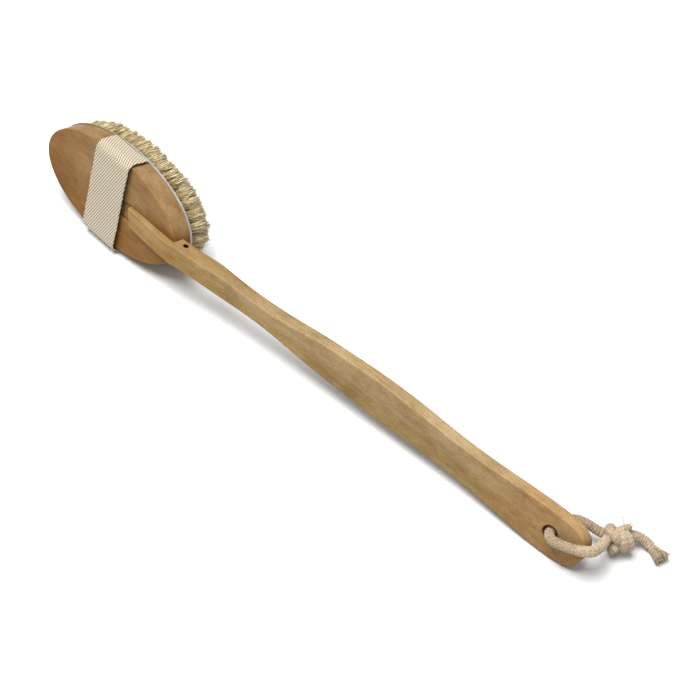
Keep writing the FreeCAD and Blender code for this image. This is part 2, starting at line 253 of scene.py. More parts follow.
def wood_material(name, pale, mid, deep, roughness, streakiness):
    """Fine straight-grained hardwood, oiled: streaks, growth lines and short flecks along X."""
    material, tree, shader = new_material(name, roughness, WOOD_SPECULAR)
    place = brush_coordinates(tree)
    streaks = stretched_noise(tree, place, (46.0, 1.3, 1.3), 5.0, 0.62, 0.4)
    bands = stretched_noise(tree, place, (150.0, 7.0, 7.0), 2.0, 0.5, 0.6)
    lines = math_node(tree, "PINGPONG", math_node(tree, "MULTIPLY", bands, 14.0), 1.0)
    blotches = stretched_noise(tree, place, (26.0, 15.0, 15.0), 2.0, 0.5)
    mottle = stretched_noise(tree, place, (7.0, 3.6, 3.6), 3.0, 0.6)
    grit = stretched_noise(tree, place, (0.9, 0.5, 0.5), 3.0, 0.7)
    flecks = stretched_noise(tree, place, (2.6, 0.32, 0.32), 2.0, 0.5)
    tone = math_node(tree, "MULTIPLY_ADD", streaks, streakiness, 0.5 - 0.5 * streakiness - 0.45)
    tone = math_node(tree, "MULTIPLY_ADD", lines, 0.16 * streakiness, tone)
    tone = math_node(tree, "MULTIPLY_ADD", blotches, 0.75, tone)
    tone = math_node(tree, "MULTIPLY_ADD", mottle, 0.45, math_node(tree, "SUBTRACT", tone, 0.15))
    ramp = node(tree, "ShaderNodeValToRGB", {"Fac": tone})
    ramp.color_ramp.elements[0].position = 0.28
    ramp.color_ramp.elements[0].color = (*deep, 1.0)
    ramp.color_ramp.elements[1].position = 0.86
    ramp.color_ramp.elements[1].color = (*pale, 1.0)
    ramp.color_ramp.elements.new(0.56).color = (*mid, 1.0)
    fleck = remap(tree, flecks, 0.60, 0.70, 0.0, 0.42)
    colour = mix(tree, fleck, ramp.outputs[0], scaled(deep, PORE_SHADE))
    speckle = remap(tree, grit, 0.32, 0.68, 0.80, 1.16)
    speckled = node(tree, "ShaderNodeCombineColor", {0: speckle, 1: speckle, 2: speckle}).outputs[0]
    colour = mix(tree, 1.0, colour, speckled, "MULTIPLY")
    rounded = node(tree, "ShaderNodeBevel", {"Radius": EDGE_RADIUS}, samples=6)
    true_normal = node(tree, "ShaderNodeNewGeometry").outputs["Normal"]
    agree = node(tree, "ShaderNodeVectorMath", {0: rounded.outputs[0], 1: true_normal},
                 operation="DOT_PRODUCT")
    edge = remap(tree, agree.outputs["Value"], 0.90, 0.995, 1.0, 0.0)
    # paler edges: partly rubbed wear, partly a painted highlight along the arrises
    rub_and_highlight = math_node(tree, "MULTIPLY", edge, remap(tree, mottle, 0.35, 0.65, 0.35, 0.95))
    colour = mix(tree, rub_and_highlight, colour, tuple(share * c for share, c in zip(RUBBED_AND_HIGHLIT, pale)))
    shine = remap(tree, blotches, 0.3, 0.7, roughness - 0.06, roughness + 0.08)
    tree.links.new(shine, shader.inputs["Roughness"])
    relief = math_node(tree, "SUBTRACT", streaks, math_node(tree, "MULTIPLY", fleck, 0.8))
    bump = add_bump(tree, shader, relief, 0.22, 0.12 * MM)
    tree.links.new(rounded.outputs[0], bump.inputs["Normal"])
    return material, tree, shader, place, colour


def head_wood():
    material, tree, shader, place, colour = wood_material(
        "head_wood", (0.266, 0.170, 0.080), (0.209, 0.123, 0.048), (0.153, 0.078, 0.023), 0.42, 0.35)
    parts = node(tree, "ShaderNodeSeparateXYZ", {0: place})
    # painted shade: the back's lower side and far end are painted darker and more orange, where less light reaches
    low_side = remap(tree, parts.outputs["Y"], 12.0, -24.0, 0.0, 1.0)
    far_end = remap(tree, parts.outputs["X"], -22.0, -60.0, 0.0, 1.0)
    on_back = remap(tree, parts.outputs["Z"], -2.0, 0.0, 0.0, 0.9)
    warm_painted_shade = math_node(tree, "MULTIPLY", math_node(tree, "MAXIMUM", low_side, far_end), on_back)
    colour = mix(tree, warm_painted_shade, colour, (0.86, 0.66, 0.42), "MULTIPLY")
    painted_shade_far_end = math_node(tree, "MULTIPLY", remap(tree, parts.outputs["X"], -20.0, -52.0),
                         math_node(tree, "MULTIPLY", low_side, on_back))
    colour = mix(tree, painted_shade_far_end, colour, (0.70, 0.64, 0.48), "MULTIPLY")
    # painted sheen: the rim is made greyer and paler, a grey reflection over the wood
    rim_painted_sheen = remap(tree, parts.outputs["Z"], -3.0, -1.0, 1.0, 0.0)
    colour = mix(tree, rim_painted_sheen, colour, (1.04, 1.08, 1.22), "MULTIPLY")
    # painted shadow: the wood beside the tongue's upper side is painted darker and more orange
    painted_shadow_beside_tongue = math_node(tree, "MULTIPLY", remap(tree, parts.outputs["Y"], 5.5, 15.0, 1.0, 0.0),
                       remap(tree, parts.outputs["X"], 18.0, 50.0, 0.0, 0.8))
    painted_shadow_beside_tongue = math_node(tree, "MULTIPLY", painted_shadow_beside_tongue, remap(tree, parts.outputs["Y"], -7.0, -6.0))
    colour = mix(tree, painted_shadow_beside_tongue, colour, (0.78, 0.52, 0.25), "MULTIPLY")
    tree.links.new(colour, shader.inputs["Base Color"])
    return material


# places on the handle, in millimetres in the brush's frame
PIN_MARKS = ((160.6, -1.5, -9.8), (198.1, -1.7, -14.1), (299.0, -0.5, -22.8))
SMUDGES = ((339.9, -7.4, -25.4), (330.0, -10.0, -24.6), (212.0, 4.0, -15.6))
NECK_HOLE = (70.4, 6.9, -4.2)
NECK_BORE_FADE = (1.72, 1.95)   # just outside the hole's radius of 1.7
ROPE_HOLE = (355.0, 1.2, 0.0)
ROPE_BORE_FADE = (4.75, 5.4)    # about the hole's radius of 4.8


def handle_wood():
    material, tree, shader, place, colour = wood_material(
        "handle_wood", (0.305, 0.222, 0.118), (0.242, 0.167, 0.080), (0.168, 0.103, 0.041), 0.46, 0.5)
    parts = node(tree, "ShaderNodeSeparateXYZ", {0: place})
    wander = stretched_noise(tree, place, (60.0, 9.0, 9.0), 2.0)
    across = math_node(tree, "MULTIPLY_ADD", wander, 3.0, parts.outputs["Y"])
    # painted shade: the lower half of each wide face is browner and darker than the upper, as a lower facet turned
    # from the light
    upper = remap(tree, across, 0.6, 2.6, 0.0, 1.0)
    colour = mix(tree, upper, mix(tree, 1.0, colour, (0.92, 0.88, 0.71), "MULTIPLY"), colour)
    near_tail = remap(tree, parts.outputs["X"], 290.0, 350.0)
    colour = mix(tree, near_tail, colour, (1.11, 1.0, 0.90), "MULTIPLY")
    near_head = remap(tree, parts.outputs["X"], 60.0, 150.0, 1.0, 0.0)
    colour = mix(tree, near_head, colour, mix(tree, 1.0, colour, (0.98, 0.90, 0.74), "MULTIPLY"))
    # painted light: faces that look up along the brush's Y, the narrow faces, are made paler in the middle of the
    # handle
    normal = node(tree, "ShaderNodeTexCoord").outputs["Normal"]
    facing = node(tree, "ShaderNodeVectorMath", {0: normal, 1: BRUSH.to_3x3().col[1]},
                  operation="DOT_PRODUCT")
    painted_light_on_narrow_faces = math_node(tree, "MULTIPLY", remap(tree, facing.outputs["Value"], 0.6, 0.9),
                       remap(tree, parts.outputs["X"], 130.0, 220.0))
    colour = mix(tree, painted_light_on_narrow_faces, colour, (1.24, 1.27, 1.33), "MULTIPLY")
    for mark in PIN_MARKS:
        colour = mix(tree, math_node(tree, "MULTIPLY", spot(tree, place, mark, 0.15, 0.8), 0.75),
                     colour, (0.07, 0.035, 0.012))
    for mark in SMUDGES:
        patchy = remap(tree, wander, 0.3, 0.6, 0.1, 0.5)
        dusk = math_node(tree, "MULTIPLY", spot(tree, place, mark, 0.5, 5.0), patchy)
        colour = mix(tree, dusk, colour, (0.16, 0.09, 0.035))
    tinge = math_node(tree, "MULTIPLY", spot(tree, place, NECK_HOLE, 1.5, 4.2), 0.5)
    colour = mix(tree, tinge, colour, (0.24, 0.10, 0.035))
    # painted shade: the walls of the cross hole in the neck are painted near black
    side_place = flattened(tree, place, (1.0, 0.0, 1.0))
    neck_bore_painted_shade = spot(tree, side_place, (NECK_HOLE[0], 0.0, NECK_HOLE[2]), *NECK_BORE_FADE)
    colour = mix(tree, neck_bore_painted_shade, colour, (0.012, 0.006, 0.004))
    # painted shade: the rope hole's walls and its edge are painted dark reddish brown
    flat_place = flattened(tree, place, (1.0, 1.0, 0.0))
    bore = math_node(tree, "MULTIPLY", spot(tree, flat_place, ROPE_HOLE, *ROPE_BORE_FADE), 0.85)
    colour = mix(tree, bore, colour, (0.16, 0.048, 0.012))
    tree.links.new(colour, shader.inputs["Base Color"])
    return material


def use_material(node_name, material):
    nodes[node_name].data.materials.clear()
    nodes[node_name].data.materials.append(material)


# ------------------------------------------------------------------ liner and wire

def liner_plastic():
    material, tree, shader = new_material("liner_plastic", 0.42)
    place = brush_coordinates(tree)
    cloud = stretched_noise(tree, place, (9.0, 9.0, 9.0), 3.0)
    grain = stretched_noise(tree, place, (0.35, 0.35, 0.35), 2.0)
    colour = mix(tree, remap(tree, cloud, 0.3, 0.7), (0.25, 0.24, 0.215), (0.33, 0.315, 0.285))
    parts = node(tree, "ShaderNodeSeparateXYZ", {0: place})
    far_end = remap(tree, parts.outputs["X"], -25.0, 15.0, 0.95, 0.0)
    colour = mix(tree, far_end, colour, (0.20, 0.13, 0.062))
    tree.links.new(colour, shader.inputs["Base Color"])
    tree.links.new(remap(tree, cloud, 0.3, 0.7, 0.36, 0.5), shader.inputs["Roughness"])
    add_bump(tree, shader, grain, 0.1, 0.05 * MM)
    shader.inputs["Subsurface Weight"].default_value = 0.15
    shader.inputs["Subsurface Radius"].default_value = (0.002, 0.002, 0.002)
    return material


def wire_steel():
    material, tree, shader = new_material("wire_steel", 0.3)
    shader.inputs["Metallic"].default_value = 1.0
    place = brush_coordinates(tree)
    drawn = stretched_noise(tree, place, (6.0, 0.2, 0.2), 2.0)
    tree.links.new(mix(tree, drawn, (0.45, 0.44, 0.42), (0.68, 0.67, 0.65)), shader.inputs["Base Color"])
    tree.links.new(remap(tree, drawn, 0.3, 0.7, 0.22, 0.4), shader.inputs["Roughness"])
    return material


# ------------------------------------------------------------------ bristles

RING_NUMBERS = range(1, 6)
HAIRS_OUTER = 150
HAIRS_INNER = 90
HAIR_RADIUS = (0.125 * MM, 0.125 * MM, 0.11 * MM, 0.075 * MM)
ROOT_SPREAD = 1.95 * MM
TIP_SPREAD = 4.4 * MM
CLUMPS = 9                      # pointed groups that the hairs of one tuft gather into
GATHER = 0.50                   # how far they gather
DARK_SHARE = 0.022
ROOT_BURIED = 0.8 * MM          # the hairs start this far inside the liner
TRIM = 0.9 * MM                 # most hairs stop this short of the tips' plane
RAGGED = 0.9 * MM               # spread of the hairs' and the clumps' lengths
HAIR_STATIONS = (0.0, 0.36, 0.72, 1.0)
HAIR_SIDES = 3


def bristle_material(name, root, tip_low, tip_high, roughness):
    material, tree, shader = new_material(name, roughness)
    place = brush_coordinates(tree)
    parts = node(tree, "ShaderNodeSeparateXYZ", {0: place})
    own = node(tree, "ShaderNodeNewGeometry").outputs["Random Per Island"]
    # the hairs darken towards their roots: painted shade deep in the tufts
    length = remap(tree, parts.outputs["Z"], BRISTLE_FACE / MM, BRISTLE_TIP / MM + 6.0)
    lock = stretched_noise(tree, place, (1.5, 1.5, 14.0), 1.0)
    light = remap(tree, math_node(tree, "MULTIPLY_ADD", own, 0.35, lock), 0.50, 0.86)
    tip = mix(tree, light, tip_low, tip_high)
    colour = mix(tree, length, mix(tree, own, root, scaled(root, 1.12)), tip)
    tree.links.new(colour, shader.inputs["Base Color"])
    patch = stretched_noise(tree, place, (1.0, 1.0, 4.0), 2.0)
    shine = remap(tree, patch, 0.3, 0.7, roughness - 0.1, roughness + 0.1)
    tree.links.new(shine, shader.inputs["Roughness"])
    return material


def solid_places(name):
    """Centres, in the brush's frame, of the separate solids of a CAD node."""
    mesh = nodes[name].data
    owner = np.arange(len(mesh.vertices))
    edges = np.zeros(len(mesh.edges) * 2, np.int64)
    mesh.edges.foreach_get("vertices", edges)
    edges = edges.reshape(-1, 2)
    changed = True
    while changed:
        low = np.minimum(owner[edges[:, 0]], owner[edges[:, 1]])
        before = owner.copy()
        np.minimum.at(owner, edges[:, 0], low)
        np.minimum.at(owner, edges[:, 1], low)
        owner = owner[owner]
        changed = not np.array_equal(before, owner)
    points = np.zeros(len(mesh.vertices) * 3)
    mesh.vertices.foreach_get("co", points)
    points = to_brush(points.reshape(-1, 3))
    return [(points[owner == k].min(0) + points[owner == k].max(0)) / 2 for k in np.unique(owner)]


def tuft_hairs(centre, count):
    """The stations along each hair of one tuft, in the brush's frame: (count, stations, 3)."""
    turn = rng.uniform(0, 2 * math.pi, count)
    ring = np.sqrt(rng.uniform(0, 1, count))
    side = np.stack([np.cos(turn), np.sin(turn)], 1) * ring[:, None]
    clump_turn = rng.uniform(0, 2 * math.pi, CLUMPS)
    clump_ring = np.sqrt((np.arange(CLUMPS) + 0.5) / CLUMPS)
    clump_side = np.stack([np.cos(clump_turn), np.sin(clump_turn)], 1) * clump_ring[:, None]
    own = np.argmin(np.linalg.norm(side[:, None, :] - clump_side[None, :, :], axis=2), axis=1)
    clump_lean = rng.normal(0, 0.5 * MM, (CLUMPS, 2))
    clump_reach = rng.normal(0, RAGGED, CLUMPS)
    full = BRISTLE_FACE - BRISTLE_TIP
    stray = rng.uniform(0, 1, count) ** 5
    length = full - TRIM + clump_reach[own] + rng.normal(0, RAGGED, count) - 0.5 * MM * ring ** 2
    length = np.minimum(length, full + 0.8 * MM)
    root = np.array(centre[:2]) + side * ROOT_SPREAD
    gathered = side * (1 - GATHER) + clump_side[own] * GATHER
    tip = np.array(centre[:2]) + gathered * TIP_SPREAD + clump_lean[own]
    tip = tip + rng.normal(0, 1.0, (count, 2)) * (0.3 + 2.2 * stray[:, None]) * MM
    bow = rng.normal(0, 0.28 * MM, (count, 2)) + side * 0.25 * MM
    stations = []
    for share in HAIR_STATIONS:
        flat = root + (tip - root) * share ** 1.15 + bow * math.sin(math.pi * share)
        height = BRISTLE_FACE + ROOT_BURIED - (length + ROOT_BURIED) * share
        stations.append(np.column_stack([flat, height]))
    return np.stack(stations, 1)


# start and end of each, in millimetres in the brush's frame
STRAY_HAIRS = (((33.2, 27.2, -15.8), (31.3, 27.6, -32.2)), ((33.7, 27.2, -15.6), (37.4, 27.0, -26.4)),
               ((53.5, 22.5, -13.8), (50.8, 23.0, -29.0)), ((22.8, 28.4, -18.2), (22.3, 28.6, -31.2)))
STRAY_RADIUS = 0.27 * MM
STRAY_SAG = (0.5, -0.3, 0.0)
STRAY_POINTS = 7


def stray_hairs():
    """A few long dark hairs that lie over the upper side."""
    tubes = []
    for start, end in STRAY_HAIRS:
        share = np.linspace(0, 1, STRAY_POINTS)[:, None]
        sag = np.array(STRAY_SAG) * np.sin(math.pi * share)
        hair = np.array(start) * (1 - share) + np.array(end) * share + sag
        radii = STRAY_RADIUS * np.linspace(1.0, 0.6, STRAY_POINTS)
        tubes.append(tube_mesh(to_row(hair * MM), radii, 5))
    vertices, faces = join_tubes(tubes)
    piece = add_mesh("stray_dark_hairs", vertices, faces, [dark_bristle])
    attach(piece, HEAD_BODY)


def bristle_ring(number, count):
    name = "bristle_ring_%d" % number
    hairs = np.concatenate([tuft_hairs(centre, count) for centre in solid_places(name)])
    total = len(hairs)
    per_hair = len(HAIR_STATIONS) * HAIR_SIDES
    side_faces = per_hair - HAIR_SIDES
    angles = np.arange(HAIR_SIDES) * 2 * math.pi / HAIR_SIDES
    section = np.stack([np.cos(angles), np.sin(angles), np.zeros(HAIR_SIDES)], 1)
    thick = rng.uniform(0.75, 1.2, (total, 1, 1, 1)) * np.array(HAIR_RADIUS)[None, :, None, None]
    vertices = hairs[:, :, None, :] + thick * section[None, None, :, :]
    near = (np.arange(total)[:, None, None] * per_hair
            + np.arange(len(HAIR_STATIONS) - 1)[None, :, None] * HAIR_SIDES)
    far = near + HAIR_SIDES
    column = np.arange(HAIR_SIDES)[None, None, :]
    after = (column + 1) % HAIR_SIDES
    quads = np.stack([near + column, far + column, far + after, near + after], -1).reshape(-1, 4).tolist()
    starts = np.arange(total) * per_hair
    ends = starts + per_hair - 1
    caps = np.concatenate([np.stack([starts, starts + 1, starts + 2], 1),
                           np.stack([ends, ends - 1, ends - 2], 1)]).tolist()
    dark = (rng.uniform(0, 1, total) < DARK_SHARE).astype(int)
    slots = np.concatenate([np.repeat(dark, side_faces), dark, dark])
    vertices = to_row(vertices.reshape(-1, 3))
    vertices[:, 2] = np.maximum(vertices[:, 2], FLOOR_MARGIN)
    piece = add_mesh("bristles_%d" % number, vertices, quads + caps, [pale_bristle, dark_bristle], slots)
    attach(piece, HEAD_BODY)
    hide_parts(name)


# ------------------------------------------------------------------ webbing strap

STRAP_HALF_WIDTH = 16.0 * MM
STRAP_THICK = 1.2 * MM
STRAP_MID_RIM = 33.8 * MM       # half distance between the strap's middle surfaces at the rim
STRAP_MID_TOP = 3.2 * MM
STRAP_MID_TUCK = -11.9 * MM
STRAP_TUCK_END = 29.9 * MM
STRAP_BEND = 5.6 * MM           # radius of the bends over the back's edges
STRAP_FOLD = 0.6 * MM           # radius of the folds under the wood
STRAP_STEP = 0.24 * MM
RIB_ACROSS = -0.537 / MM        # ribs per metre across the strap
RIB_ALONG = 0.286 / MM          # ribs per metre along it
RIB_TURN = 31.0 * MM            # distance from the middle where the ribs lean the other way
RIB_HEIGHT = 0.32 * MM
STITCH_LENGTH = 2.2 * MM        # of the floats along a rib


def strap_half():
    """Middle line of one half as (y, z, distance), from the middle of the back to the tucked end."""
    def line(start, end):
        count = max(2, round(math.dist(start, end) / STRAP_STEP))
        return [(start[0] + (end[0] - start[0]) * k / count, start[1] + (end[1] - start[1]) * k / count)
                for k in range(count)]

    def arc(centre, radius, begin, end):
        count = max(4, round(radius * abs(end - begin) / STRAP_STEP))
        turns = [begin + (end - begin) * k / count for k in range(count)]
        return [(centre[0] + radius * math.cos(t), centre[1] + radius * math.sin(t)) for t in turns]

    bend = (STRAP_MID_RIM - STRAP_BEND, STRAP_MID_TOP - STRAP_BEND)
    fold = (STRAP_MID_RIM - STRAP_FOLD, STRAP_MID_TUCK + STRAP_FOLD)
    points = line((0.0, STRAP_MID_TOP), (bend[0], STRAP_MID_TOP))
    points += arc(bend, STRAP_BEND, math.pi / 2, 0.0)
    points += line((STRAP_MID_RIM, bend[1]), (STRAP_MID_RIM, fold[1]))
    points += arc(fold, STRAP_FOLD, 0.0, -math.pi / 2)
    points += line((fold[0], STRAP_MID_TUCK), (STRAP_TUCK_END, STRAP_MID_TUCK))
    return np.array(points + [(STRAP_TUCK_END, STRAP_MID_TUCK)])


def strap_line():
    half = strap_half()
    other = half[:0:-1] * (-1.0, 1.0)
    line = np.concatenate([other, half])
    steps = np.linalg.norm(np.diff(line, axis=0), axis=1)
    distance = np.concatenate([[0.0], np.cumsum(steps)])
    return line, distance - distance[-1] / 2


def twill(along, across):
    """Height of the twill's ribs, from 0 in the grooves to 1, and of the floats along them."""
    along = np.sign(along) * (RIB_TURN - np.abs(np.abs(along) - RIB_TURN))
    phase = RIB_ALONG * along + RIB_ACROSS * across
    rib = 0.5 + 0.5 * np.cos(2 * math.pi * phase)
    run = (RIB_ALONG * across - RIB_ACROSS * along) / math.hypot(RIB_ALONG, RIB_ACROSS)
    stitch = 0.5 + 0.5 * np.cos(2 * math.pi * (run / STITCH_LENGTH + 0.5 * np.round(phase)))
    return rib ** 0.7 * (0.42 + 0.58 * stitch)


def strap_piece():
    line, distance = strap_line()
    tangent = np.gradient(line, axis=0)
    tangent /= np.linalg.norm(tangent, axis=1)[:, None]
    outward = np.stack([-tangent[:, 1], tangent[:, 0]], 1)
    columns = round(2 * STRAP_HALF_WIDTH / STRAP_STEP) + 1
    across = np.linspace(-1.0, 1.0, columns)
    along = distance[:, None]
    wave = 0.12 * MM * np.sin(along / (3.1 * MM)) + 0.08 * MM * np.sin(along / (1.3 * MM) + 1.0)
    x = across[None, :] * STRAP_HALF_WIDTH + wave * across[None, :]
    edge = np.sqrt(np.clip(1 - np.clip((np.abs(across) - 0.96) / 0.04, 0, 1) ** 2, 0.05, 1))[None, :]
    weave = twill(along, x)
    face = (0.5 * STRAP_THICK - RIB_HEIGHT + RIB_HEIGHT * weave) * edge
    lift = 0.25 * MM * np.sin(along / (9.0 * MM)) * np.clip(1 - np.abs(along) / (26 * MM), 0, 1)
    sheets = []
    for sign in (1, -1):
        offset = sign * face + lift
        y = line[:, 0][:, None] + outward[:, 0][:, None] * offset
        z = line[:, 1][:, None] + outward[:, 1][:, None] * offset
        sheets.append(np.stack([x + 0 * y, y, z], -1).reshape(-1, 3))
    rows = len(line)
    outer = grid_faces(rows, columns, False)
    inner = [quad[::-1] for quad in grid_faces(rows, columns, False, rows * columns)]
    rim = [r * columns for r in range(rows)]
    rim += [(rows - 1) * columns + c for c in range(1, columns)]
    rim += [r * columns + columns - 1 for r in range(rows - 2, -1, -1)]
    rim += list(range(columns - 2, 0, -1))
    after = rim[1:] + rim[:1]
    shift = rows * columns
    walls = [[a, b, b + shift, a + shift] for a, b in zip(rim, after)]
    piece = add_mesh("strap_webbing", to_row(np.concatenate(sheets)), outer + inner + walls, [webbing])
    # the weave's height, which the webbing material uses for painted shade in the grooves
    weave_height_for_shade = piece.data.attributes.new("weave", "FLOAT", "POINT")
    weave_height_for_shade.data.foreach_set("value", np.tile(weave.ravel(), 2))
    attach(piece, HEAD_BODY)
    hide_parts("hand_strap")


def webbing_material():
    material, tree, shader = new_material("cotton_webbing", 0.8, 0.3)
    place = brush_coordinates(tree)
    yarn = stretched_noise(tree, place, (0.3, 0.3, 0.3), 3.0)
    soil = stretched_noise(tree, place, (8.0, 8.0, 8.0), 3.0)
    weave = node(tree, "ShaderNodeAttribute", attribute_name="weave").outputs["Fac"]
    # painted shade in the grooves between the twill's ribs
    groove_painted_shade = remap(tree, weave, 0.05, 0.62, 0.85, 0.0)
    colour = mix(tree, yarn, (0.34, 0.30, 0.22), (0.53, 0.465, 0.35))
    colour = mix(tree, groove_painted_shade, colour, (0.125, 0.095, 0.055))
    colour = mix(tree, remap(tree, soil, 0.45, 0.75, 0.0, 0.25), colour, (0.30, 0.25, 0.175))
    tree.links.new(colour, shader.inputs["Base Color"])
    tree.links.new(remap(tree, yarn, 0.3, 0.7, 0.72, 0.88), shader.inputs["Roughness"])
    add_bump(tree, shader, yarn, 0.35, 0.12 * MM)
    shader.inputs["Sheen Weight"].default_value = 0.2
    shader.inputs["Sheen Roughness"].default_value = 0.5
    return material


# ------------------------------------------------------------------ cord

CORD_DIAMETER = 5.8 * MM
CORD_ROUTE = ((0.3780, -0.0002, -0.0585), (0.3712, 0.0006, -0.0540), (0.3635, 0.0018, -0.0516),
              (0.3563, 0.0018, -0.0474), (0.3542, 0.0015, -0.0395), (0.3539, 0.0013, -0.0305),
              (0.3549, 0.0010, -0.0246), (0.3594, 0.0009, -0.0224), (0.3650, 0.0025, -0.0231),
              (0.3700, 0.0044, -0.0236), (0.3752, 0.0070, -0.0244), (0.3798, 0.0088, -0.0274),
              (0.3802, 0.0076, -0.0340), (0.3789, 0.0052, -0.0420), (0.3772, 0.0028, -0.0500),
              (0.3770, 0.0016, -0.0565))
LONG_TAIL_ROUTE = ((0.3820, 0.0022, -0.0659), (0.3849, 0.0020, -0.0687), (0.3875, 0.0014, -0.0715),
                   (0.3911, 0.0003, -0.0735), (0.3950, -0.0007, -0.0736), (0.3988, -0.0011, -0.0729),
                   (0.4031, -0.0011, -0.0723))
SHORT_TAIL_ROUTE = ((0.3788, 0.0044, -0.0615), (0.3806, 0.0069, -0.0632), (0.3814, 0.0093, -0.0649))
KNOT_CENTRE = (0.3804, 0.0010, -0.0594)


def nurbs_points(route, step):
    """Points every step metres along the smooth curve that a route's points control, in the row frame."""
    data = bpy.data.curves.new("route", "CURVE")
    data.dimensions = "3D"
    data.resolution_u = 24
    spline = data.splines.new("NURBS")
    spline.points.add(len(route) - 1)
    for point, place in zip(spline.points, to_row(route)):
        point.co = (*place, 1.0)
    spline.order_u = 3
    spline.use_endpoint_u = True
    carrier = bpy.data.objects.new("route", data)
    line = bpy.data.meshes.new_from_object(carrier)
    points = np.array([tuple(v.co) for v in line.vertices])
    bpy.data.objects.remove(carrier)
    bpy.data.curves.remove(data)
    bpy.data.meshes.remove(line)
    steps = np.linalg.norm(np.diff(points, axis=0), axis=1)
    distance = np.concatenate([[0.0], np.cumsum(steps)])
    even = np.linspace(0.0, distance[-1], max(4, round(distance[-1] / step)))
    return np.stack([np.interp(even, distance, points[:, k]) for k in range(3)], 1), even


def frames_along(points):
    """Unit tangents and two unit normals that turn as little as they can along a line of points."""
    tangent = np.gradient(points, axis=0)
    tangent /= np.linalg.norm(tangent, axis=1)[:, None]
    guide = np.array([0.0, 0.0, 1.0]) if abs(tangent[0][2]) < 0.9 else np.array([1.0, 0.0, 0.0])
    first = np.zeros_like(points)
    for k, ahead in enumerate(tangent):
        guide = guide - ahead * guide.dot(ahead)
        guide /= np.linalg.norm(guide)
        first[k] = guide
    return tangent, first, np.cross(tangent, first)


def tube_mesh(points, radii, around):
    """Closed tube round a line; radii is one number, one per point, or one per point and turn."""
    _, side, up = frames_along(points)
    turn = np.arange(around) * 2 * math.pi / around
    wide = np.broadcast_to(np.asarray(radii, float).reshape(-1, 1) if np.ndim(radii) == 1 else radii,
                           (len(points), around))
    ring = side[:, None, :] * np.cos(turn)[None, :, None] + up[:, None, :] * np.sin(turn)[None, :, None]
    vertices = (points[:, None, :] + ring * wide[..., None]).reshape(-1, 3)
    faces = grid_faces(len(points), around, True)
    last = len(vertices)
    vertices = np.concatenate([vertices, points[:1], points[-1:]])
    for k in range(around):
        after = (k + 1) % around
        faces.append([last, after, k])
        faces.append([last + 1, last - around + k, last - around + after])
    return vertices, faces


def join_tubes(tubes):
    """One vertex list and face list from several."""
    vertices = []
    faces = []
    count = 0
    for own_vertices, own_faces in tubes:
        vertices.append(own_vertices)
        faces.extend([[i + count for i in face] for face in own_faces])
        count += len(own_vertices)
    return np.concatenate(vertices), faces


PLAIT_TURNS = 7                 # half the number of stitches round the cord
PLAIT_STEP = 1.9 * MM
PLAIT_RELIEF = 0.27 * MM
PLAIT_AROUND = 56
PLAIT_ALONG = 0.22 * MM         # between the points of a plaited tube
FUZZ_POINTS = 5
WISP_POINTS = 9


def plaited_radii(distance, around, radius):
    """Radius at each point and turn of a soft plaited cord: small stitches and slow lumps."""
    turn = np.arange(around)[None, :] * 2 * math.pi / around
    run = distance[:, None] / PLAIT_STEP * 2 * math.pi
    stitches = np.cos(PLAIT_TURNS * turn + run / 2) * np.cos(PLAIT_TURNS * turn - run / 2)
    lumps = np.sin(distance / (2.7 * MM)) * 0.03 + np.sin(distance / (6.1 * MM) + 2.0) * 0.03
    return radius * (1 + lumps[:, None]) + PLAIT_RELIEF * (stitches - 0.3)


def plaited_tube(route, radius, squeeze=None):
    points, distance = nurbs_points(route, PLAIT_ALONG)
    radii = plaited_radii(distance, PLAIT_AROUND, radius)
    if squeeze is not None:
        radii = radii * np.interp(distance / distance[-1], *squeeze)[:, None]
    return tube_mesh(points, radii, PLAIT_AROUND), points


def fuzz(points, distance_out, count, length, thin):
    """Short loose fibres that stand out of a cord that follows points."""
    tangent, side, up = frames_along(points)
    tubes = []
    for k in rng.integers(2, len(points) - 2, count):
        turn = rng.uniform(0, 2 * math.pi)
        out = side[k] * math.cos(turn) + up[k] * math.sin(turn)
        around = np.cross(tangent[k], out)
        sweep = tangent[k] * rng.normal(0, 0.8) + around * rng.normal(0, 0.8)
        reach = length * rng.uniform(0.4, 1.0)
        share = np.linspace(0, 1, FUZZ_POINTS)[:, None]
        fibre = (points[k] + out * (distance_out - 0.15 * MM) + out * reach * 0.5 * share
                 + sweep * reach * share ** 1.6)
        fibre[:, 2] = np.maximum(fibre[:, 2], FLOOR_MARGIN)
        tubes.append(tube_mesh(fibre, thin * np.linspace(1.0, 0.5, FUZZ_POINTS), 3))
    return tubes


def wisps(start, ahead, spread, count, length, thin, root_radius, droop):
    """A brush of loose yarns from start along ahead; droop pulls them down towards the table."""
    ahead = np.array(ahead) / np.linalg.norm(ahead)
    side = np.cross(ahead, (0.0, 0.0, 1.0))
    side /= np.linalg.norm(side)
    up = np.cross(side, ahead)
    tubes = []
    for _ in range(count):
        turn = rng.uniform(0, 2 * math.pi)
        ring = math.sqrt(rng.uniform(0, 1))
        out = side * math.cos(turn) + up * math.sin(turn)
        reach = length * rng.uniform(0.75, 1.1)
        share = np.linspace(0, 1, WISP_POINTS)[:, None]
        curl = rng.normal(0, 0.05, 3) * reach
        wave = np.sin(math.pi * share * rng.uniform(0.6, 1.6))
        yarn = (np.array(start) + out * root_radius * ring + ahead * reach * share
                + out * spread * ring * share ** 1.5 * reach + curl * wave)
        yarn = yarn - np.array([0.0, 0.0, 1.0]) * droop * share ** 2
        thick = thin * rng.uniform(0.75, 1.25)
        yarn[:, 2] = np.maximum(yarn[:, 2], FLOOR_MARGIN + thick)
        tubes.append(tube_mesh(yarn, thick * np.linspace(1.0, 0.7, WISP_POINTS), 5))
    return tubes


